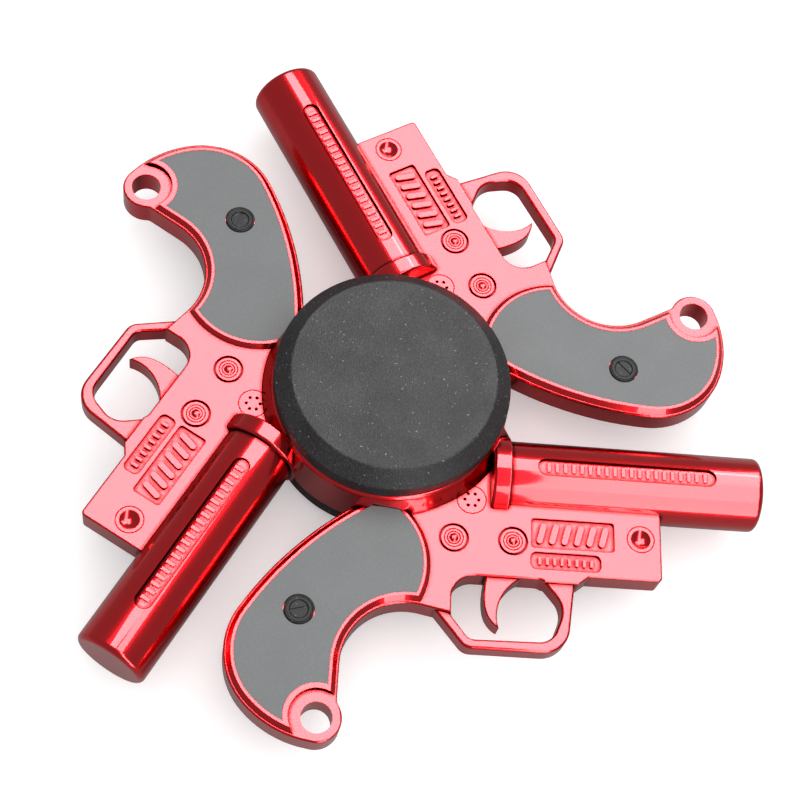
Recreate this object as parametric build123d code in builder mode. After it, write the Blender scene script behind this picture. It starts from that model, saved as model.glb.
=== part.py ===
from build123d import *

import math
import os

# Three-armed fidget spinner: a die-cast body with three toy flare guns round a ball bearing,
# held between two finger caps. Millimetres. The spin axis is +Z and z = 0 is the bottom cap's face.

# ---------------------------------------------------------------- driving sizes: the bearing
bearing_outer_diameter = 22.0
bearing_bore_diameter = 8.0
bearing_width = 7.0
ball_count = 7
ball_radius = 1.984
race_clearance = 0.05
shoulder_gap = 2.9  # between the inner and the outer ring's shoulders
race_edge_chamfer = 0.3
cage_wall = 1.1
cage_pocket_clearance = 0.09
cage_web = 0.3
cage_skirt = 1.0
shield_thickness = 0.3
shield_depth = 0.65
shield_wall = 1.4  # of the outer ring, outside the shield
shield_bore_clearance = 0.25
snap_ring_thickness = 0.3
snap_ring_width = 0.85
snap_ring_groove_depth = 0.2
snap_ring_gap = 2.4
snap_ring_clearance = 0.05

# ---------------------------------------------------------------- driving sizes: the finger caps
cap_setback = 0.2  # of the cap's wall inside the hub's
cap_wall_height = 1.75
cap_bevel_height = 1.65
cap_bevel_width = 1.7
cap_edge_round = 0.3
cap_running_gap = 0.35
cap_boss_step = 0.65
cap_boss_moat = 1.2
cap_rim_wall = 1.4
cap_core_depth = 1.5
stem_clearance = 0.02
stem_tip_chamfer = 0.4
stem_split = 0.2
peg_radius = 1.6
peg_length = 2.6
peg_clearance = 0.03
peg_end_gap = 0.2

# ---------------------------------------------------------------- driving sizes: the casting
arm_count = 3
gun_tilt = -3.0
gun_direction = -52.0  # from the hub to the gun's frame, before the tilt
gun_setback = 13.0  # from the hub's wall back to the point that a gun's places count from
hub_wall = 2.0
hub_edge_round = 0.5
hub_foot_width = 0.9
hub_foot_height = 3.1
plate_thickness = 3.2
plate_edge_round = 0.2
grip_rise = 0.5
grip_bevel = 0.75
guard_step = 0.35
guard_edge_round = 0.3

# Places on a gun are (along the barrel, across it); the barrel's line is at across = barrel_axis.
barrel_axis = -8.2
barrel_radius = 4.05
barrel_start = 11.3
barrel_end = 40.9
muzzle_round = 0.6
collar_step = 0.55
collar_length = 2.0
collar_round = 0.3

frame_front = 29.86
frame_bottom = -19.5
frame_heel = (21.94, frame_bottom)
frame_step = (20.84, -20.35)
frame_corner_round = 0.5
frame_shoulder = 0.2  # of the frame above the barrel, behind the collar
guard_top = -20.1
# each corner with the radius that it is rounded to
guard_corners = [((8.75, -28.0), 1.6), ((19.6, -28.0), 3.0)]
opening_corners = [
    ((7.25, guard_top), 2.6),
    ((17.0, guard_top), 1.2),
    ((19.35, -22.9), 2.5),
    ((17.95, -26.8), 2.0),
    ((9.2, -26.95), 1.2),
    ((7.2, -24.4), 0.8),
]
trigger_root_rear = 10.9
trigger_root_front = 14.6
trigger_tip = (12.3, -25.6)

lanyard_hole = (-6.31, -36.28)
lanyard_hole_radius = 1.65
lug_wall = 0.95
lug_step_gap = 0.35
lug_heel_round = 3.0
lug_side_round = 1.0
grip_toe = (4.1, -23.75)

# ---------------------------------------------------------------- driving sizes: panels and screws
panel_recess = 0.4
panel_sink = 0.06
panel_fit = 0.03
panel_rim = 1.0
panel_hub_gap = 0.3
grip_screw_place = (-8.65, -25.18)
screw_head_radius = 1.6
screw_head_height = 0.5
screw_hole_clearance = 0.05
screw_shank_radius = 0.8
screw_shank_length = 1.1
screw_ring_radius = 1.15
screw_groove_width = 0.2
screw_groove_depth = 0.22
slot_width = 0.5
slot_turn = 15

# ---------------------------------------------------------------- driving sizes: cast surface details
rosette_places = [(7.38, -16.05), (13.73, -16.0)]
rosette_radius = 1.65
rosette_groove = 0.32
rosette_inner_radius = 1.08
rosette_inner_groove = 0.14
rosette_dome_radius = 0.62
rosette_dome_ball = 0.9
rosette_dome_sink = 0.75
rosette_depth = 0.4
front_rosette_place = (27.61, -14.87)
front_rosette_radius = 1.55
front_dish_radius = 1.1
front_dish_depth = 0.4
medallion_place = (9.25, -11.6)
medallion_radius = 1.65
medallion_dot_ring = 0.75
medallion_dot_count = 6
medallion_dot_radius = 0.2
rosette_pit_radius = 0.76
front_dish_ball = 1.7
front_dish_rise = 1.3
large_bar_count = 6
large_bar_size = (2.3, 0.62)
large_bar_pitch = 1.35
large_bar_slant = 75
small_bar_count = 8
small_bar_size = (0.3, 0.8)
small_bar_pitch = 0.8
barrel_rib_count = 20
barrel_rib_size = (0.35, 1.0)
barrel_rib_pitch = 0.9

large_label_place = (20.21, -14.91)
large_label_size = (9.1, 3.4)
large_label_corner = 0.4
small_label_place = (19.42, -18.0)
small_label_size = (7.7, 2.0)
small_label_corner = 0.7
label_depth = 0.32
barrel_label_start = 16.0
barrel_label_length = 19.6
barrel_label_width = 2.0
barrel_label_depth = 0.3
cutter_height = 1.0  # how far a cut into a face runs out past it

# ---------------------------------------------------------------- worked out from the driving sizes
half_width = bearing_width / 2
cap_height = cap_wall_height + cap_bevel_height
mid_height = cap_height + cap_running_gap + half_width
bearing_radius = bearing_outer_diameter / 2
bore_radius = bearing_bore_diameter / 2
ball_pitch_radius = (bearing_radius + bore_radius) / 2
race_radius = ball_radius + race_clearance
inner_shoulder_radius = ball_pitch_radius - shoulder_gap / 2
outer_shoulder_radius = ball_pitch_radius + shoulder_gap / 2
groove_offset = math.sqrt(race_radius**2 - (shoulder_gap / 2) ** 2)
shield_seat_radius = bearing_radius - shield_wall
snap_ring_groove_radius = shield_seat_radius + snap_ring_groove_depth
snap_ring_outer_radius = snap_ring_groove_radius - snap_ring_clearance
shield_seat_height = half_width - shield_depth - shield_thickness
snap_ring_seat_height = shield_seat_height + shield_thickness
lip_height = snap_ring_seat_height + snap_ring_thickness + snap_ring_clearance

hub_radius = bearing_radius + hub_wall
hub_foot_radius = hub_radius + hub_foot_width
cap_radius = hub_radius - cap_setback
cap_top_radius = cap_radius - cap_bevel_width
cap_boss_radius = inner_shoulder_radius - cap_boss_step
stem_radius = bore_radius - stem_clearance
stem_length = half_width - stem_split / 2

plate_half = plate_thickness / 2
grip_half = plate_half + grip_rise
guard_half = plate_half - guard_step
collar_radius = barrel_radius + collar_step
collar_end = barrel_start + collar_length
lug_radius = lanyard_hole_radius + lug_wall
panel_seat_height = grip_half - panel_recess
gun_outset = hub_radius - gun_setback

profile_plane = Plane((0, 0, mid_height), x_dir=(1, 0, 0), z_dir=(0, -1, 0))

os.makedirs("parts", exist_ok=True)


def level(height):
    """Horizontal plane at a height above the middle of the bearing."""
    return Plane.XY.offset(mid_height + height)


def gun_plane(height):
    """The same for the first gun's places: X along its barrel, and moved out with the hub's wall."""
    turned = level(height).rotated((0, 0, gun_tilt))
    direction = math.radians(gun_direction)
    outset = Vector(gun_outset * math.cos(direction), gun_outset * math.sin(direction), 0)
    return Plane(turned.from_local_coords(outset), x_dir=turned.x_dir, z_dir=turned.z_dir)


def barrel_plane(along):
    """Plane across the first gun's barrel, facing the muzzle."""
    across = gun_plane(0)
    spot = across.from_local_coords(Vector(along, barrel_axis, 0))
    return Plane(spot, x_dir=across.z_dir, z_dir=across.x_dir)


def save(piece, label):
    """Name a finished piece and write it."""
    piece.label = label
    export_step(piece, f"parts/{label}.step")


def save_round(piece, label):
    """Write one copy of a gun's piece for each arm, turned about the spin axis."""
    for number in range(arm_count):
        save(piece.rotate(Axis.Z, number * 360 / arm_count), f"{label}_{number + 1}")


# ================================================================ bearing
with BuildPart() as outer_ring:
    with BuildSketch(profile_plane):
        with BuildLine():
            Polyline(
                (outer_shoulder_radius, groove_offset),
                (outer_shoulder_radius, shield_seat_height),
                (shield_seat_radius, shield_seat_height),
                (shield_seat_radius, snap_ring_seat_height),
                (snap_ring_groove_radius, snap_ring_seat_height),
                (snap_ring_groove_radius, lip_height),
                (shield_seat_radius, lip_height),
                (shield_seat_radius, half_width),
                (bearing_radius - race_edge_chamfer, half_width),
                (bearing_radius, half_width - race_edge_chamfer),
                (bearing_radius, 0),
            )
            mirror(about=Plane.XZ)
            ThreePointArc(
                (outer_shoulder_radius, -groove_offset),
                (ball_pitch_radius + race_radius, 0),
                (outer_shoulder_radius, groove_offset),
            )
        make_face()
    revolve(axis=Axis.Z)
save(outer_ring.part, "bearing_outer_ring")

with BuildPart() as inner_ring:
    with BuildSketch(profile_plane):
        with BuildLine():
            Polyline(
                (inner_shoulder_radius, groove_offset),
                (inner_shoulder_radius, half_width - race_edge_chamfer),
                (inner_shoulder_radius - race_edge_chamfer, half_width),
                (bore_radius + race_edge_chamfer, half_width),
                (bore_radius, half_width - race_edge_chamfer),
                (bore_radius, 0),
            )
            mirror(about=Plane.XZ)
            ThreePointArc(
                (inner_shoulder_radius, -groove_offset),
                (ball_pitch_radius - race_radius, 0),
                (inner_shoulder_radius, groove_offset),
            )
        make_face()
    revolve(axis=Axis.Z)
save(inner_ring.part, "bearing_inner_ring")

with BuildPart(level(0)) as ball:
    with Locations((ball_pitch_radius, 0)):
        Sphere(ball_radius)
for number in range(ball_count):
    save(ball.part.rotate(Axis.Z, number * 360 / ball_count), f"bearing_ball_{number + 1}")

# A snap-in crown cage: a ring above the balls with a split pocket round each one.
with BuildPart() as cage:
    with BuildSketch(level(-cage_skirt)):
        Circle(ball_pitch_radius + cage_wall / 2)
        Circle(ball_pitch_radius - cage_wall / 2, mode=Mode.SUBTRACT)
    extrude(amount=cage_skirt + ball_radius + cage_pocket_clearance + cage_web)
    with Locations(level(0)):
        with PolarLocations(ball_pitch_radius, ball_count):
            Sphere(ball_radius + cage_pocket_clearance, mode=Mode.SUBTRACT)
save(cage.part, "bearing_cage")

for side, word in ((1, "top"), (-1, "bottom")):
    with BuildPart() as shield:
        with BuildSketch(level(side * shield_seat_height)):
            Circle(shield_seat_radius)
            Circle(inner_shoulder_radius + shield_bore_clearance, mode=Mode.SUBTRACT)
        extrude(amount=side * shield_thickness)
    save(shield.part, f"bearing_shield_{word}")

    with BuildPart() as snap_ring:
        with BuildSketch(level(side * snap_ring_seat_height)):
            Circle(snap_ring_outer_radius)
            Circle(snap_ring_outer_radius - snap_ring_width, mode=Mode.SUBTRACT)
            with Locations((-snap_ring_groove_radius, 0)):
                Rectangle(snap_ring_groove_radius, snap_ring_gap, mode=Mode.SUBTRACT)
        extrude(amount=side * snap_ring_thickness)
    save(snap_ring.part, f"bearing_snap_ring_{word}")


# ================================================================ finger caps
def is_cap_rim(rim):
    """True for the two round edges of a cap that a finger feels: round its face and above its wall."""
    above_wall = abs(rim.center().Z - mid_height) > half_width + cap_running_gap + cap_wall_height / 2
    on_face = math.isclose(rim.radius, cap_top_radius)
    return above_wall and (on_face or math.isclose(rim.radius, cap_radius))


def cap_blank(side):
    """A finger cap turned in one piece: bevelled disc, boss on the inner ring, split stem."""
    flange = side * (half_width + cap_running_gap)
    core_inner_radius = cap_boss_radius + cap_boss_moat
    core_outer_radius = cap_radius - cap_rim_wall
    with BuildPart() as blank:
        with BuildSketch(profile_plane):
            with BuildLine():
                Polyline(
                    (0, flange + side * cap_height),
                    (cap_top_radius, flange + side * cap_height),
                    (cap_radius, flange + side * cap_wall_height),
                    (cap_radius, flange),
                    (core_outer_radius, flange),
                    (core_outer_radius, flange + side * cap_core_depth),
                    (core_inner_radius, flange + side * cap_core_depth),
                    (core_inner_radius, flange),
                    (cap_boss_radius, flange),
                    (cap_boss_radius, side * half_width),
                    (stem_radius, side * half_width),
                    (stem_radius, side * (half_width - stem_length + stem_tip_chamfer)),
                    (stem_radius - stem_tip_chamfer, side * (half_width - stem_length)),
                    (0, side * (half_width - stem_length)),
                    close=True,
                )
            make_face()
        revolve(axis=Axis.Z)
        fillet(blank.edges().filter_by(GeomType.CIRCLE).filter_by(is_cap_rim), cap_edge_round)
    return blank.part


with BuildPart() as top_cap:
    add(cap_blank(1))
    with BuildSketch(level(stem_split)):
        Circle(peg_radius)
    extrude(amount=-stem_split - peg_length)
save(top_cap.part, "top_cap")

with BuildPart() as bottom_cap:
    add(cap_blank(-1))
    with BuildSketch(level(0)):
        Circle(peg_radius + peg_clearance)
    extrude(amount=-peg_length - peg_end_gap, mode=Mode.SUBTRACT)
save(bottom_cap.part, "bottom_cap")

# ================================================================ casting: hub
with BuildPart() as hub_ring:
    with BuildSketch(level(-half_width)):
        Circle(hub_radius)
    extrude(amount=bearing_width)
    fillet(hub_ring.edges(), hub_edge_round)
    with BuildSketch(level(-half_width)):
        Circle(bearing_radius)
    extrude(amount=bearing_width, mode=Mode.SUBTRACT)
save(hub_ring.part, "hub_ring")

# ================================================================ casting: outlines of one gun
def lug_point(angle, reach=lug_radius):
    """Point round the lanyard hole, at an angle from the barrel's direction."""
    turn = math.radians(angle)
    return (lanyard_hole[0] + reach * math.cos(turn), lanyard_hole[1] + reach * math.sin(turn))


with BuildSketch() as grip_outline:
    with BuildLine():
        ThreePointArc((1.9, -12.5), (5.2, -18.9), grip_toe)
        strap = ThreePointArc(grip_toe, (-1.5, -25.1), (-4.2, -30.4))
        TangentArc(strap @ 1, lug_point(40), tangent=strap % 1)
        ThreePointArc(lug_point(40), lug_point(-30), lug_point(-105))
        back = ThreePointArc((-1.6, -12.1), (-9.3, -18.1), (-14.9, -25.2))
        heel = TangentArc(back @ 1, (-13.9, -35.2), tangent=back % 1)
        TangentArc(heel @ 1, lug_point(-105), tangent=heel % 1)
        Line((-1.6, -12.1), (1.9, -12.5))
    make_face()
    fillet(grip_outline.vertices().sort_by_distance(lug_point(-105))[0], lug_heel_round)
    fillet(grip_outline.vertices().sort_by_distance(lug_point(40))[0], lug_side_round)


def panel_shape(rim):
    """Outline of the grip drawn in by a rim, and kept clear of the lanyard lug."""
    with BuildSketch() as shape:
        add(grip_outline.sketch)
        offset(amount=-rim)
        with Locations(lanyard_hole):
            Circle(lug_radius + lug_step_gap + rim / 2, mode=Mode.SUBTRACT)
    return shape.sketch


panel_seat = panel_shape(panel_rim)
panel_blank = panel_shape(panel_rim + panel_fit)

with BuildSketch() as frame_outline:
    with BuildLine():
        Polyline(
            (-1.0, -11.0),
            (9.0, -2.0),
            (collar_end, barrel_axis + barrel_radius + frame_shoulder),
            (collar_end, barrel_axis),
            (frame_front, barrel_axis),
            (frame_front, frame_bottom),
            frame_heel,
            frame_step,
            (trigger_root_rear, frame_step[1]),
            (trigger_root_rear, guard_top - 2.5),
            (7.4, guard_top - 2.5),
            (7.4, -24.4),
            (5.6, -24.05),
            grip_toe,
            (0, -20.0),
            close=True,
        )
    make_face()
    front_corner = frame_outline.vertices().sort_by(lambda corner: corner.X - corner.Y)[-1]
    fillet(front_corner, frame_corner_round)

with BuildSketch() as guard_outline:
    with BuildLine():
        Polyline(
            (5.5, -24.05),
            *[corner for corner, radius in guard_corners],
            (20.7, -18.0),
            (4.5, -18.0),
            close=True,
        )
    make_face()
    for corner, radius in guard_corners:
        fillet(guard_outline.vertices().sort_by_distance(corner)[0], radius)

with BuildSketch() as guard_opening:
    with BuildLine():
        Polyline(*[corner for corner, radius in opening_corners], close=True)
    make_face()
    for corner, radius in opening_corners:
        fillet(guard_opening.vertices().sort_by_distance(corner)[0], radius)

with BuildSketch() as trigger_outline:
    with BuildLine():
        Spline((trigger_root_rear, guard_top), (10.68, -22.2), (11.0, -24.2), trigger_tip)
        Spline(trigger_tip, (12.2, -23.3), (12.95, -21.6), (trigger_root_front, guard_top))
        Polyline(
            (trigger_root_front, guard_top),
            (trigger_root_front, guard_top + 1),
            (trigger_root_rear, guard_top + 1),
            (trigger_root_rear, guard_top),
        )
    make_face()

# ================================================================ casting: the gun's bodies
with BuildPart() as guard_bow:
    with BuildSketch(gun_plane(0)):
        add(guard_outline.sketch)
        add(guard_opening.sketch, mode=Mode.SUBTRACT)
    extrude(amount=guard_half, both=True)
    fillet(guard_bow.faces().filter_by(Axis.Z).edges(), guard_edge_round)

with BuildPart() as trigger_blade:
    with BuildSketch(gun_plane(0)):
        add(trigger_outline.sketch)
    extrude(amount=guard_half, both=True)
    chamfer(trigger_blade.faces().filter_by(Axis.Z).edges(), guard_edge_round / 2)

with BuildPart() as plate:
    with BuildSketch(gun_plane(0)):
        add(frame_outline.sketch)
        add(grip_outline.sketch)
        add(guard_opening.sketch, mode=Mode.SUBTRACT)
    extrude(amount=plate_half, both=True)
    fillet(plate.faces().filter_by(Axis.Z).edges(), plate_edge_round)

with BuildPart() as raised_grip:
    with BuildSketch(gun_plane(0)):
        add(grip_outline.sketch)
    extrude(amount=grip_half, both=True)
    chamfer(raised_grip.faces().filter_by(Axis.Z).edges(), grip_bevel)
    with BuildSketch(gun_plane(0)):
        with Locations(lanyard_hole):
            Circle(lug_radius + lug_step_gap)
    extrude(amount=grip_half, both=True, mode=Mode.SUBTRACT)

# The sloping foot between hub and plate follows the plate's outline.
with BuildPart() as hub_foot:
    with BuildSketch(profile_plane):
        with BuildLine():
            Polyline(
                (bearing_radius, hub_foot_height),
                (hub_radius, hub_foot_height),
                (hub_foot_radius, plate_half),
                (hub_foot_radius, 0),
            )
            mirror(about=Plane.XZ)
            Line((bearing_radius, hub_foot_height), (bearing_radius, -hub_foot_height))
        make_face()
    revolve(axis=Axis.Z)
    with BuildSketch(gun_plane(0)):
        add(frame_outline.sketch)
        add(grip_outline.sketch)
    extrude(amount=half_width, both=True, mode=Mode.INTERSECT)

with BuildPart() as barrel:
    with BuildSketch(barrel_plane(barrel_start)):
        Circle(barrel_radius)
    extrude(amount=barrel_end - barrel_start)
    fillet(barrel.edges().sort_by(Axis.X)[-1], muzzle_round)
    with BuildSketch(gun_plane(0)):
        with Locations((barrel_label_start + barrel_label_length / 2, barrel_axis)):
            SlotOverall(barrel_label_length, barrel_label_width)
    extrude(amount=barrel_radius, both=True, mode=Mode.SUBTRACT)
    with BuildSketch(barrel_plane(barrel_start)):
        Circle(barrel_radius - barrel_label_depth)
    extrude(amount=barrel_end - barrel_start - muzzle_round)
    with BuildSketch(gun_plane(0)):
        with Locations((barrel_label_start + barrel_label_length / 2, barrel_axis)):
            with GridLocations(barrel_rib_pitch, 0, barrel_rib_count, 1):
                Rectangle(*barrel_rib_size)
    extrude(amount=barrel_radius - barrel_label_depth / 2, both=True)

with BuildPart() as collar:
    with BuildSketch(barrel_plane(barrel_start)):
        Circle(collar_radius)
    extrude(amount=collar_length)
    fillet(collar.edges().filter_by(GeomType.CIRCLE), collar_round)

# ================================================================ casting: one gun arm
with BuildPart() as gun_arm:
    add(plate.part)
    add(raised_grip.part)
    add(guard_bow.part)
    add(trigger_blade.part)
    add(hub_foot.part)
    add(barrel.part)
    add(collar.part)
    with BuildSketch(level(-half_width)):
        Circle(hub_radius)
    extrude(amount=bearing_width, mode=Mode.SUBTRACT)
    with BuildSketch(gun_plane(-plate_half)):
        with Locations(lanyard_hole):
            Circle(lanyard_hole_radius)
    extrude(amount=plate_thickness, mode=Mode.SUBTRACT)
    for side in (1, -1):
        # the cap turns past the collar with room to spare
        with BuildSketch(level(side * half_width)):
            Circle(cap_radius + cap_running_gap)
        extrude(amount=side * (collar_radius - half_width), mode=Mode.SUBTRACT)
        # rosettes and medallion: rings sunk into the plate
        with BuildSketch(gun_plane(side * (plate_half - rosette_depth))):
            with Locations(*rosette_places):
                Circle(rosette_radius)
                Circle(rosette_radius - rosette_groove, mode=Mode.SUBTRACT)
                Circle(rosette_inner_radius)
                Circle(rosette_inner_radius - rosette_inner_groove, mode=Mode.SUBTRACT)
                Circle(rosette_pit_radius)
                Circle(rosette_dome_radius, mode=Mode.SUBTRACT)
            with Locations(front_rosette_place):
                Circle(front_rosette_radius)
                Circle(front_rosette_radius - rosette_inner_groove, mode=Mode.SUBTRACT)
            with Locations(medallion_place):
                Circle(medallion_radius)
                Circle(medallion_radius - rosette_inner_groove, mode=Mode.SUBTRACT)
                with PolarLocations(medallion_dot_ring, medallion_dot_count):
                    Circle(medallion_dot_radius)
        extrude(amount=side * cutter_height, mode=Mode.SUBTRACT)
        with Locations(gun_plane(side * (plate_half + front_dish_rise))):
            with Locations(front_rosette_place):
                Sphere(front_dish_ball, rotation=(90, 0, 0), mode=Mode.SUBTRACT)
        with Locations(gun_plane(side * (plate_half - rosette_dome_sink))):
            with Locations(*rosette_places):
                Sphere(rosette_dome_ball, rotation=(90, 0, 0))
        # two name plates without a name: a sunk frame with raised bars inside
        with BuildSketch(gun_plane(side * (plate_half - label_depth))):
            with Locations(large_label_place):
                RectangleRounded(*large_label_size, large_label_corner)
                with GridLocations(large_bar_pitch, 0, large_bar_count, 1):
                    SlotOverall(*large_bar_size, rotation=large_bar_slant, mode=Mode.SUBTRACT)
            with Locations(small_label_place):
                RectangleRounded(*small_label_size, small_label_corner)
                with GridLocations(small_bar_pitch, 0, small_bar_count, 1):
                    Rectangle(*small_bar_size, mode=Mode.SUBTRACT)
        extrude(amount=side * cutter_height, mode=Mode.SUBTRACT)
        # seat of the grip panel and the hole for its screw
        with BuildSketch(gun_plane(side * panel_seat_height)):
            add(panel_seat)
        extrude(amount=side * cutter_height, mode=Mode.SUBTRACT)
        with BuildSketch(gun_plane(side * panel_seat_height)):
            with Locations(grip_screw_place):
                Circle(screw_shank_radius)
        extrude(amount=-side * screw_shank_length, mode=Mode.SUBTRACT)
save_round(gun_arm.part, "gun_arm")

# ================================================================ grip panels and their screws
for side, word in ((1, "front"), (-1, "back")):
    seat = side * panel_seat_height
    with BuildPart() as panel:
        with BuildSketch(gun_plane(seat)):
            add(panel_blank)
            with Locations(grip_screw_place):
                Circle(screw_head_radius + screw_hole_clearance, mode=Mode.SUBTRACT)
        extrude(amount=side * (panel_recess - panel_sink))
        with BuildSketch(level(seat)):
            Circle(hub_radius + panel_hub_gap)
        extrude(amount=side * (panel_recess - panel_sink), mode=Mode.SUBTRACT)
    save_round(panel.part, f"grip_panel_{word}")

    with BuildPart() as screw:
        with BuildSketch(gun_plane(seat)):
            with Locations(grip_screw_place):
                Circle(screw_head_radius)
        extrude(amount=side * screw_head_height)
        with BuildSketch(gun_plane(seat + side * (screw_head_height - screw_groove_depth))):
            with Locations(grip_screw_place):
                Circle(screw_ring_radius + screw_groove_width)
                Circle(screw_ring_radius, mode=Mode.SUBTRACT)
                Rectangle(slot_width, 2 * screw_ring_radius, rotation=slot_turn)
        extrude(amount=side * cutter_height, mode=Mode.SUBTRACT)
        with BuildSketch(gun_plane(seat)):
            with Locations(grip_screw_place):
                Circle(screw_shank_radius)
        extrude(amount=-side * screw_shank_length)
    save_round(screw.part, f"grip_screw_{word}")
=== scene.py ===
"""Looks of a three-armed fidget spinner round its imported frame: finishes, screws, studio and camera."""

import logging
import math
from dataclasses import dataclass, field
from enum import Enum

import bmesh
import bpy
from mathutils import Matrix, Vector


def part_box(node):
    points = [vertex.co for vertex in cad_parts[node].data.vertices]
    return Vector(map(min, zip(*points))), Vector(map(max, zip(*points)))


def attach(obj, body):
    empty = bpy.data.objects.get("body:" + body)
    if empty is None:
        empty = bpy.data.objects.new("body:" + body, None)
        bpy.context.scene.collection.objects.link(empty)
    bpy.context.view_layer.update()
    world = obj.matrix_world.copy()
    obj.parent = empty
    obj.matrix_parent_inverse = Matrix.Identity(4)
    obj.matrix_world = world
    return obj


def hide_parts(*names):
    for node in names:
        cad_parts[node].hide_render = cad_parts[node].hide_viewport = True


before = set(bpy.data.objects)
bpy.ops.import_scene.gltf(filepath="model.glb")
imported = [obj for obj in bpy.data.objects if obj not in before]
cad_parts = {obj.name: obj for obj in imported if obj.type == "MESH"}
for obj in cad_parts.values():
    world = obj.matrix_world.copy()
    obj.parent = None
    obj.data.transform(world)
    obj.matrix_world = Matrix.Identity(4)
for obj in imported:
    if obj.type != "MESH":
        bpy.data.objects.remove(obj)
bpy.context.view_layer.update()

log = logging.getLogger("fidget_spinner")

MM = 0.001
ARMS = (1, 2, 3)
FACES = ("front", "back")
SIDES = ("top", "bottom")
BALLS = (1, 2, 3, 4, 5, 6, 7)

Colour = tuple[float, float, float]
Point = tuple[float, float, float]


# ---------------------------------------------------------------- shader language
class Wire:
    """The output of a node, on which Python arithmetic adds Math nodes."""

    def __init__(self, tree: "ShaderTree", socket: bpy.types.NodeSocket | None) -> None:
        """Args:
            tree: the tree that new nodes are added to.
            socket: the output that this wire starts at.
        """
        self.tree = tree
        self.socket = socket

    def math(self, operation: str, *values: "Wire | float") -> "Wire":
        """Add a Math node.

        Args:
            operation: Blender's name of the operation.
            values: the node's inputs, in order.

        Returns:
            The result.
        """
        inputs = dict(enumerate(values))
        return self.tree.node("ShaderNodeMath", {"operation": operation}, inputs)

    def __add__(self, other: "Wire | float") -> "Wire":
        """self + other."""
        return self.math("ADD", self, other)

    __radd__ = __add__

    def __sub__(self, other: "Wire | float") -> "Wire":
        """self - other."""
        return self.math("SUBTRACT", self, other)

    def __rsub__(self, other: float) -> "Wire":
        """other - self."""
        return self.math("SUBTRACT", other, self)

    def __mul__(self, other: "Wire | float") -> "Wire":
        """self * other."""
        return self.math("MULTIPLY", self, other)

    __rmul__ = __mul__

    def __truediv__(self, other: "Wire | float") -> "Wire":
        """self / other."""
        return self.math("DIVIDE", self, other)

    def __rtruediv__(self, other: float) -> "Wire":
        """other / self."""
        return self.math("DIVIDE", other, self)

    def __pow__(self, other: "Wire | float") -> "Wire":
        """self ** other."""
        return self.math("POWER", self, other)

    def ramp(self, low: float, high: float) -> "Wire":
        """Smooth step from 0 at low to 1 at high; the other way round if low is the greater."""
        settings = {"interpolation_type": "SMOOTHSTEP"}
        inputs = {"Value": self, "From Min": low, "From Max": high}
        return self.tree.node("ShaderNodeMapRange", settings, inputs)


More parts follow.
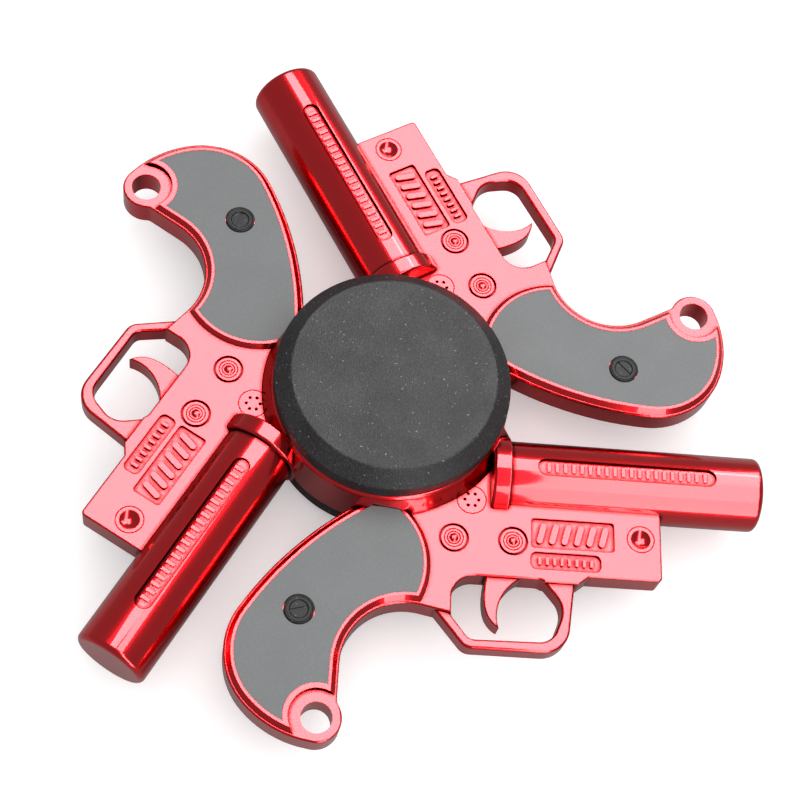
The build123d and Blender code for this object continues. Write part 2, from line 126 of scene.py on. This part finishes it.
class ShaderTree:
    """The node tree of a material or a world, written from Python."""

    def __init__(self, owner: bpy.types.Material | bpy.types.World) -> None:
        """Args:
            owner: what the tree belongs to; its old nodes are cleared.
        """
        owner.use_nodes = True
        self.owner = owner
        self.tree = owner.node_tree
        self.tree.nodes.clear()

    @classmethod
    def for_material(cls, name: str) -> "ShaderTree":
        """The empty tree of a new material."""
        return cls(bpy.data.materials.new(name))

    def node(
        self,
        kind: str,
        settings: dict | None = None,
        inputs: dict | None = None,
        output: str | int = 0,
    ) -> Wire:
        """Add one node.

        Args:
            kind: Blender's type name.
            settings: properties, set before the sockets.
            inputs: a value or a Wire for each socket, by name or number.
            output: the socket that the result comes from.

        Returns:
            The chosen output, or an empty wire from a node that ends the tree.
        """
        made = self.tree.nodes.new(kind)
        for key, value in (settings or {}).items():
            setattr(made, key, value)
        for key, value in (inputs or {}).items():
            if isinstance(value, Wire):
                self.tree.links.new(value.socket, made.inputs[key])
            else:
                made.inputs[key].default_value = value
        return Wire(self, made.outputs[output] if len(made.outputs) else None)

    def place(self) -> Wire:
        """A point's place in millimetres, in the part's own frame."""
        here = self.node("ShaderNodeTexCoord", output="Object")
        return self.vector("SCALE", here, scale=1 / MM)

    def vector(
        self,
        operation: str,
        first: Wire,
        second: "Wire | Point | None" = None,
        scale: float | None = None,
    ) -> Wire:
        """Vector maths on one or two vectors.

        Args:
            operation: Blender's name of the operation.
            first: the first vector.
            second: the second one, where the operation has it.
            scale: the factor of SCALE.

        Returns:
            The result, a number for LENGTH, DISTANCE and DOT_PRODUCT.
        """
        inputs: dict = {0: first}
        if second is not None:
            inputs[1] = second
        if scale is not None:
            inputs["Scale"] = scale
        output = "Value" if operation in ("LENGTH", "DISTANCE", "DOT_PRODUCT") else "Vector"
        return self.node("ShaderNodeVectorMath", {"operation": operation}, inputs, output)

    def noise(self, grain: float, detail: float = 2.0, where: Wire | None = None) -> Wire:
        """Noise of about 0 to 1.

        Args:
            grain: the size of a blotch in millimetres.
            detail: octaves of finer noise.
            where: the place that it is read at.

        Returns:
            The noise's factor.
        """
        inputs = {"Vector": where or self.place(), "Scale": 1 / grain, "Detail": detail}
        return self.node("ShaderNodeTexNoise", None, inputs, "Fac")

    def cells(self, grain: float, where: Wire | None = None) -> Wire:
        """Distance to the nearest point of a scatter that lies grain millimetres apart."""
        inputs = {"Vector": where or self.place(), "Scale": 1 / grain}
        return self.node("ShaderNodeTexVoronoi", None, inputs, "Distance")

    def shade(self, factor: Wire, low: "Colour | Wire", high: "Colour | Wire") -> Wire:
        """Mix of two colours, low where the factor is 0."""
        first, second = (side if isinstance(side, Wire) else (*side, 1.0) for side in (low, high))
        return self.node("ShaderNodeMix", {"data_type": "RGBA"}, {0: factor, 6: first, 7: second}, 2)

    def bump(self, height: Wire, depth: float, under: Wire | None = None) -> Wire:
        """Normal of a relief.

        Args:
            height: the relief, from 0 to 1.
            depth: its full depth in millimetres.
            under: a normal that this one is laid over.

        Returns:
            The bent normal.
        """
        inputs: dict = {"Strength": 1.0, "Distance": depth * MM, "Height": height}
        if under is not None:
            inputs["Normal"] = under
        return self.node("ShaderNodeBump", None, inputs)

    def surface(self, sockets: dict) -> bpy.types.Material:
        """Finish the tree with a Principled shader.

        Args:
            sockets: its values and links, by name.

        Returns:
            The material.
        """
        shader = self.node("ShaderNodeBsdfPrincipled", None, sockets)
        self.node("ShaderNodeOutputMaterial", None, {"Surface": shader})
        return self.owner


# ---------------------------------------------------------------- finishes
@dataclass(frozen=True)
class RedPlating:
    """Clear red lacquer over bright plating, thin on crests; ambient occlusion darkens the colour in
    corners and recesses, which is painted shade as well as lacquer pooled there.
    """

    film: Colour = (0.82, 0.006, 0.012)
    # painted shade with pooled lacquer: the dark red that corners and recesses are darkened to, within
    # the given width in millimetres
    shade_and_pooled: Colour = (0.07, 0.0003, 0.001)
    shade_and_pool_width: float = 0.5
    peel_grain: float = 1.3
    peel_depth: float = 0.004
    cast_grain: float = 0.22
    cast_depth: float = 0.0008
    roughness: float = 0.15
    smear: float = 0.07

    def material(self) -> bpy.types.Material:
        """Returns:
            The finish, for the hub and the three arms.
        """
        tree = ShaderTree.for_material("red_lacquer_over_plating")
        # painted shade: ambient occlusion darkens the colour in corners and recesses, together with
        # lacquer pooled there
        corner = tree.node(
            "ShaderNodeAmbientOcclusion",
            {"samples": 6, "only_local": True},
            {"Distance": self.shade_and_pool_width * MM},
            "AO",
        )
        patches = tree.noise(6.0)
        shade_and_pool = ((1 - corner) ** 0.55 + patches * 0.12).ramp(0.15, 0.62)
        peel = tree.noise(self.peel_grain)
        grain = tree.noise(self.cast_grain)
        normal = tree.bump(grain, self.cast_depth, tree.bump(peel, self.peel_depth))
        return tree.surface(
            {
                "Base Color": tree.shade(shade_and_pool, self.film, self.shade_and_pooled),
                "Metallic": 1.0,
                "Roughness": patches * self.smear + self.roughness,
                "Coat Weight": 1 - shade_and_pool * 0.9,
                "Coat Roughness": 0.04,
                "Coat IOR": 1.5,
                "Normal": normal,
            }
        )


@dataclass(frozen=True)
class GreyEnamel:
    """Flat grey enamel poured into the grips, with fine specks and soft clouds."""

    body: Colour = (0.118, 0.124, 0.126)
    speck: Colour = (0.168, 0.175, 0.177)
    grain: float = 0.12
    depth: float = 0.004
    roughness: float = 0.5

    def material(self) -> bpy.types.Material:
        """Returns:
            The finish, for the six grip panels.
        """
        tree = ShaderTree.for_material("grey_enamel")
        specks = tree.noise(self.grain, 3.0)
        clouds = tree.noise(4.0)
        mottle = specks.ramp(0.35, 0.75) * 0.5 + clouds * 0.3
        return tree.surface(
            {
                "Base Color": tree.shade(mottle, self.body, self.speck),
                "Roughness": clouds * 0.12 + self.roughness,
                "Specular IOR Level": 0.35,
                "Normal": tree.bump(specks, self.depth),
            }
        )


@dataclass(frozen=True)
class GrainedPlastic:
    """Black moulded plastic with the fine grain of a spark-eroded mould, polished a little by fingers."""

    body: Colour = (0.012, 0.012, 0.013)
    worn: Colour = (0.040, 0.040, 0.043)
    painted_glint: Colour = (0.30, 0.30, 0.31)
    grain: float = 0.2
    depth: float = 0.05
    roughness: float = 0.5

    def material(self) -> bpy.types.Material:
        """Returns:
            The finish, for the two finger caps.
        """
        tree = ShaderTree.for_material("grained_black_plastic")
        pits = tree.cells(self.grain)
        fine = tree.noise(self.grain * 0.6, 3.0)
        relief = pits * 0.7 + fine * 0.5
        handled = tree.noise(5.0).ramp(0.3, 0.75)
        # painted glints: scattered light grey specks in the colour stand in for sparkles of light on the
        # grain
        painted_glints = tree.noise(0.3, 1.0).ramp(0.72, 0.78) * 0.8
        tone = tree.shade(relief.ramp(0.35, 0.95) * 0.7 + handled * 0.25, self.body, self.worn)
        return tree.surface(
            {
                "Base Color": tree.shade(painted_glints, tone, self.painted_glint),
                "Roughness": self.roughness - handled * 0.07,
                "Specular IOR Level": 0.22,
                "Normal": tree.bump(relief, self.depth),
            }
        )


@dataclass(frozen=True)
class BlackEnamel:
    """Glossy black enamel of a screw head, rubbed thin to metal in scattered patches."""

    body: Colour = (0.012, 0.012, 0.014)
    bare: Colour = (0.45, 0.45, 0.47)
    roughness: float = 0.42

    def material(self) -> bpy.types.Material:
        """Returns:
            The finish, for the six grip screws.
        """
        tree = ShaderTree.for_material("black_enamel")
        rub = tree.noise(0.35, 3.0).ramp(0.62, 0.8) * 0.25
        return tree.surface(
            {
                "Base Color": tree.shade(rub, self.body, self.bare),
                "Metallic": rub,
                "Specular IOR Level": 0.15,
                "Roughness": rub * 0.3 + self.roughness,
                "Normal": tree.bump(tree.noise(0.25), 0.006),
            }
        )


@dataclass(frozen=True)
class TurnedSteel:
    """Bright steel, ground or pressed, with its tool marks running round the spin axis."""

    name: str
    body: Colour = (0.56, 0.56, 0.58)
    dull: Colour = (0.40, 0.40, 0.42)
    mark: float = 0.06
    roughness: float = 0.2

    def material(self) -> bpy.types.Material:
        """Returns:
            The finish.
        """
        tree = ShaderTree.for_material(self.name)
        flat = tree.vector("MULTIPLY", tree.place(), (1.0, 1.0, 0.0))
        reach = tree.vector("LENGTH", flat)
        height = tree.node("ShaderNodeSeparateXYZ", None, {"Vector": tree.place()}, "Z")
        along = tree.node("ShaderNodeCombineXYZ", None, {"X": reach, "Y": height})
        marks = tree.noise(self.mark, 2.0, along)
        stains = tree.noise(1.5)
        return tree.surface(
            {
                "Base Color": tree.shade(stains.ramp(0.3, 0.8), self.body, self.dull),
                "Metallic": 1.0,
                "Roughness": marks * 0.15 + self.roughness,
                "Normal": tree.bump(marks, 0.002),
            }
        )


@dataclass(frozen=True)
class Nylon:
    """Natural nylon of the ball cage."""

    body: Colour = (0.70, 0.66, 0.56)
    deep: Colour = (0.58, 0.53, 0.43)

    def material(self) -> bpy.types.Material:
        """Returns:
            The finish.
        """
        tree = ShaderTree.for_material("cage_nylon")
        clouds = tree.noise(0.9, 3.0)
        return tree.surface(
            {
                "Base Color": tree.shade(clouds.ramp(0.3, 0.7), self.body, self.deep),
                "Roughness": clouds * 0.1 + 0.42,
                "Subsurface Weight": 0.15,
                "Normal": tree.bump(clouds, 0.004),
            }
        )


# ---------------------------------------------------------------- sub-assemblies
def dress(nodes: list[str], finish: bpy.types.Material) -> None:
    """Give CAD nodes a finish on each of their material slots.

    Args:
        nodes: the nodes' names.
        finish: the material.
    """
    for name in nodes:
        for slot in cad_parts[name].material_slots:
            slot.material = finish
        log.info("%s wears %s", name, finish.name)


@dataclass
class Casting:
    """The plated body: hub ring and three gun arms."""

    finish: RedPlating = field(default_factory=RedPlating)

    def build(self) -> None:
        """Dress the casting's nodes."""
        dress(["hub_ring"] + [f"gun_arm_{arm}" for arm in ARMS], self.finish.material())


@dataclass(frozen=True)
class ScrewHead:
    """A turned screw head with a raised ring, a dished middle and a driver slot, in millimetres."""

    radius: float = 1.6
    height: float = 0.5
    edge: float = 0.14
    edge_turns: tuple[float, ...] = (0.0, 30.0, 60.0, 90.0)
    ring: float = 1.24
    ring_width: float = 0.14
    ring_rise: float = 0.03
    ring_slope: float = 0.03
    dish: float = 0.92
    dish_slope: float = 0.12
    dish_depth: float = 0.14
    slot: tuple[float, float] = (1.9, 0.4)
    slot_depth: float = 0.26
    sides: int = 96
    sharp_angle: float = 25.0

    def profile(self) -> list[tuple[float, float]]:
        """Returns:
            Radius and height of each step of the turned outline, from the rim inwards.
        """
        top = self.height
        steps = [(self.radius, 0.0)]
        for turn in self.edge_turns:
            angle = math.radians(turn)
            inset = self.edge * (1 - math.cos(angle))
            steps.append((self.radius - inset, top - self.edge * (1 - math.sin(angle))))
        outer, inner, groove = self.ring + self.ring_width, self.ring, top - self.ring_rise
        steps += [(outer, groove), (outer - self.ring_slope, top), (inner + self.ring_slope, top)]
        low = top - self.dish_depth
        steps += [(inner, groove), (self.dish + self.dish_slope, groove)]
        steps += [(self.dish, low), (self.dish / 2, low)]
        return steps

    def turned(self) -> bpy.types.Mesh:
        """Returns:
            The head before its slot is milled, seated on the origin and pointing along +Z.
        """
        made = bmesh.new()
        angles = [2 * math.pi * side / self.sides for side in range(self.sides)]
        rings = []
        for radius, height in self.profile():
            points = [(radius * math.cos(angle), radius * math.sin(angle), height) for angle in angles]
            rings.append([made.verts.new(point) for point in points])
        for below, above in zip(rings, rings[1:]):
            for side in range(self.sides):
                after = (side + 1) % self.sides
                made.faces.new((below[side], below[after], above[after], above[side]))
        made.faces.new(rings[-1])
        made.faces.new(list(reversed(rings[0])))
        bmesh.ops.scale(made, vec=(MM, MM, MM), verts=made.verts)
        mesh = bpy.data.meshes.new("turned_head")
        made.to_mesh(mesh)
        made.free()
        return mesh

    def slot_cutter(self) -> bpy.types.Mesh:
        """Returns:
            A box as high as the head, whose lower face is the slot's floor.
        """
        made = bmesh.new()
        length, width = self.slot
        middle = self.height * 1.5 - self.slot_depth
        bmesh.ops.create_cube(made, size=1.0)
        bmesh.ops.scale(made, vec=(length * MM, width * MM, self.height * MM), verts=made.verts)
        bmesh.ops.translate(made, vec=(0, 0, middle * MM), verts=made.verts)
        mesh = bpy.data.meshes.new("slot_cutter")
        made.to_mesh(mesh)
        made.free()
        return mesh

    def mesh(self, finish: bpy.types.Material) -> bpy.types.Mesh:
        """Turn the head and mill its slot.

        Args:
            finish: the enamel that covers it.

        Returns:
            The finished head.
        """
        blank = bpy.data.objects.new("head_blank", self.turned())
        cutter = bpy.data.objects.new("slot_cutter", self.slot_cutter())
        for piece in (blank, cutter):
            bpy.context.scene.collection.objects.link(piece)
        milled = blank.modifiers.new("slot", "BOOLEAN")
        milled.object = cutter
        graph = bpy.context.evaluated_depsgraph_get()
        mesh = bpy.data.meshes.new_from_object(blank.evaluated_get(graph))
        for piece in (blank, cutter):
            bpy.data.objects.remove(piece)
        mesh.materials.clear()
        mesh.materials.append(finish)
        mesh.shade_smooth()
        mesh.set_sharp_from_angle(angle=math.radians(self.sharp_angle))
        return mesh


@dataclass
class Grips:
    """The enamelled panels and the screws of the three grips."""

    enamel: GreyEnamel = field(default_factory=GreyEnamel)
    screw_finish: BlackEnamel = field(default_factory=BlackEnamel)
    head: ScrewHead = field(default_factory=ScrewHead)
    slot_turn: float = 12.0

    def seat(self, node: str, upward: bool) -> Point:
        """Find where a screw head sits.

        Args:
            node: the CAD screw.
            upward: whether its head faces up.

        Returns:
            The middle of the head's seat, from the CAD screw's own box.
        """
        low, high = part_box(node)
        reach = self.head.height * MM
        height = high[2] - reach if upward else low[2] + reach
        return ((low[0] + high[0]) / 2, (low[1] + high[1]) / 2, height)

    def screw(self, face: str, arm: int, mesh: bpy.types.Mesh) -> None:
        """Put one turned head where its CAD screw is.

        Args:
            face: front or back.
            arm: the arm's number.
            mesh: the head.
        """
        upward = face == "front"
        name = f"grip_screw_{face}_{arm}"
        piece = bpy.data.objects.new(f"turned_{name}", mesh)
        spin = Matrix.Rotation(math.radians(self.slot_turn + (arm - 1) * 360 / len(ARMS)), 4, "Z")
        over = Matrix.Rotation(0.0 if upward else math.pi, 4, "X")
        place = Matrix.Translation(Vector(self.seat(name, upward)))
        piece.matrix_world = place @ spin @ over
        bpy.context.scene.collection.objects.link(piece)
        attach(piece, "spinner")
        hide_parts(name)
        log.info("%s stands for %s", piece.name, name)

    def build(self) -> None:
        """Dress the panels and fit the screws."""
        panels = [f"grip_panel_{face}_{arm}" for face in FACES for arm in ARMS]
        dress(panels, self.enamel.material())
        mesh = self.head.mesh(self.screw_finish.material())
        for face in FACES:
            for arm in ARMS:
                self.screw(face, arm, mesh)


@dataclass
class BallBearing:
    """Rings, balls, cage, shields and snap rings."""

    ground: TurnedSteel = TurnedSteel("ground_steel", roughness=0.12)
    pressed: TurnedSteel = TurnedSteel("pressed_steel", mark=0.12, roughness=0.28)

    def build(self) -> None:
        """Dress the bearing's nodes."""
        rings = ["bearing_outer_ring", "bearing_inner_ring"]
        dress(rings + [f"bearing_ball_{ball}" for ball in BALLS], self.ground.material())
        covers = [f"bearing_{kind}_{side}" for kind in ("shield", "snap_ring") for side in SIDES]
        dress(covers, self.pressed.material())
        dress(["bearing_cage"], Nylon().material())


@dataclass
class FingerCaps:
    """The two caps that the fingers hold."""

    finish: GrainedPlastic = field(default_factory=GrainedPlastic)

    def build(self) -> None:
        """Dress the caps."""
        dress([f"{side}_cap" for side in SIDES], self.finish.material())


# ---------------------------------------------------------------- studio
class Serves(Enum):
    """What a lamp is for: its mirror image in gloss, its light on matt faces, or both."""

    GLOSS = "gloss"
    FALL = "fall"
    BOTH = "both"


@dataclass(frozen=True)
class SoftBox:
    """A rectangular lamp."""

    name: str
    place: Point
    target: Point
    width: float
    height: float
    radiance: float
    serves: Serves = Serves.BOTH

    def hang(self) -> bpy.types.Object:
        """Returns:
            The lamp, aimed at its target.
        """
        data = bpy.data.lights.new(self.name, "AREA")
        data.shape = "RECTANGLE"
        data.size = self.width
        data.size_y = self.height
        data.energy = self.radiance * 4 * self.width * self.height
        lamp = bpy.data.objects.new(self.name, data)
        lamp.location = self.place
        aim = Vector(self.target) - Vector(self.place)
        lamp.rotation_euler = aim.to_track_quat("-Z", "Y").to_euler()
        lamp.visible_glossy = self.serves is not Serves.FALL
        lamp.visible_diffuse = self.serves is not Serves.GLOSS
        lamp.visible_camera = False
        bpy.context.scene.collection.objects.link(lamp)
        return lamp


@dataclass
class Studio:
    """White floor, soft boxes and sky; the floor glows a little where the camera sees it."""

    floor_reach: float = 3.0
    floor_height: float = -0.0002
    floor_colour: Colour = (0.88, 0.88, 0.88)
    floor_mirrored: Colour = (0.30, 0.30, 0.30)
    floor_glow: Colour = (0.30, 0.30, 0.30)
    sky_seen: float = 1.0
    sky_gloss: float = 0.36
    sky_fall: float = 1.0
    lamps: tuple[SoftBox, ...] = (
        SoftBox("ceiling_gloss", (0.10, 0.25, 0.50), (0.10, 0.25, 0.0), 0.40, 0.42, 7.0, Serves.GLOSS),
        SoftBox("strip_gloss", (0.18, -0.23, 0.50), (0.18, -0.23, 0.0), 0.16, 0.54, 6.0, Serves.GLOSS),
        SoftBox("front_gloss", (0.19, -0.55, 0.28), (0.19, 0.0, 0.28), 0.22, 0.55, 5.0, Serves.GLOSS),
        SoftBox("rear_gloss", (0.30, 0.33, 0.36), (0.0, 0.0, 0.0), 0.25, 0.20, 6.0, Serves.GLOSS),
        SoftBox("ceiling_fall", (0.15, -0.1, 0.6), (0.0, 0.0, 0.0), 0.9, 0.9, 0.8, Serves.FALL),
    )

    def floor(self) -> bpy.types.Object:
        """Returns:
            The floor, a wide sheet that the spinner lies on.
        """
        mesh = bpy.data.meshes.new("floor")
        reach = self.floor_reach
        square = ((-reach, -reach), (reach, -reach), (reach, reach), (-reach, reach))
        mesh.from_pydata([(x, y, self.floor_height) for x, y in square], [], [(0, 1, 2, 3)])
        tree = ShaderTree.for_material("pale_floor")
        mirrored = tree.node("ShaderNodeLightPath", output="Is Glossy Ray")
        shade = tree.shade(mirrored, self.floor_colour, self.floor_mirrored)
        seen = tree.node("ShaderNodeLightPath", output="Is Camera Ray")
        glow = tree.shade(seen, (0.0, 0.0, 0.0), self.floor_glow)
        finish = {"Base Color": shade, "Roughness": 0.9, "Specular IOR Level": 0.1}
        finish |= {"Emission Color": glow, "Emission Strength": 1.0}
        mesh.materials.append(tree.surface(finish))
        floor = bpy.data.objects.new("floor", mesh)
        bpy.context.scene.collection.objects.link(floor)
        return floor

    def sky(self) -> None:
        """Light the room evenly: pale where it is seen, dimmer in reflections."""
        world = bpy.data.worlds.new("room")
        bpy.context.scene.world = world
        tree = ShaderTree(world)
        gloss = tree.node("ShaderNodeLightPath", output="Is Glossy Ray")
        seen = tree.node("ShaderNodeLightPath", output="Is Camera Ray")
        unseen = gloss * self.sky_gloss + (1 - gloss) * self.sky_fall
        strength = seen * self.sky_seen + (1 - seen) * unseen
        back = tree.node("ShaderNodeBackground", None, {"Strength": strength})
        tree.node("ShaderNodeOutputWorld", None, {"Surface": back})

    def build(self) -> None:
        """Lay the floor, hang the lamps and light the room."""
        self.floor()
        self.sky()
        for lamp in self.lamps:
            lamp.hang()
        bpy.context.scene.view_settings.view_transform = "Standard"


@dataclass
class CameraStand:
    """The camera, looking down on the spinner and tipped towards its front edge."""

    place: Point = (-0.02310, -0.08374, 0.19072)
    tip: float = 25.47
    tip_axis: float = -16.29
    lens: float = 83.13
    sensor: float = 36.0
    clip: tuple[float, float] = (0.01, 10.0)

    def build(self) -> bpy.types.Object:
        """Returns:
            The camera, which becomes the scene's.
        """
        data = bpy.data.cameras.new("camera")
        data.lens = self.lens
        data.sensor_width = self.sensor
        data.clip_start, data.clip_end = self.clip
        camera = bpy.data.objects.new("camera", data)
        turn = math.radians(self.tip_axis)
        axis = Vector((math.cos(turn), math.sin(turn), 0.0))
        turned = Matrix.Rotation(math.radians(self.tip), 4, axis)
        camera.matrix_world = Matrix.Translation(Vector(self.place)) @ turned
        bpy.context.scene.collection.objects.link(camera)
        bpy.context.scene.camera = camera
        return camera


def main() -> None:
    """Build the studio and dress the spinner."""
    logging.basicConfig(level=logging.INFO, format="%(name)s: %(message)s")
    CameraStand().build()
    Studio().build()
    for assembly in (Casting(), Grips(), BallBearing(), FingerCaps()):
        assembly.build()


if __name__ == "__main__":
    main()
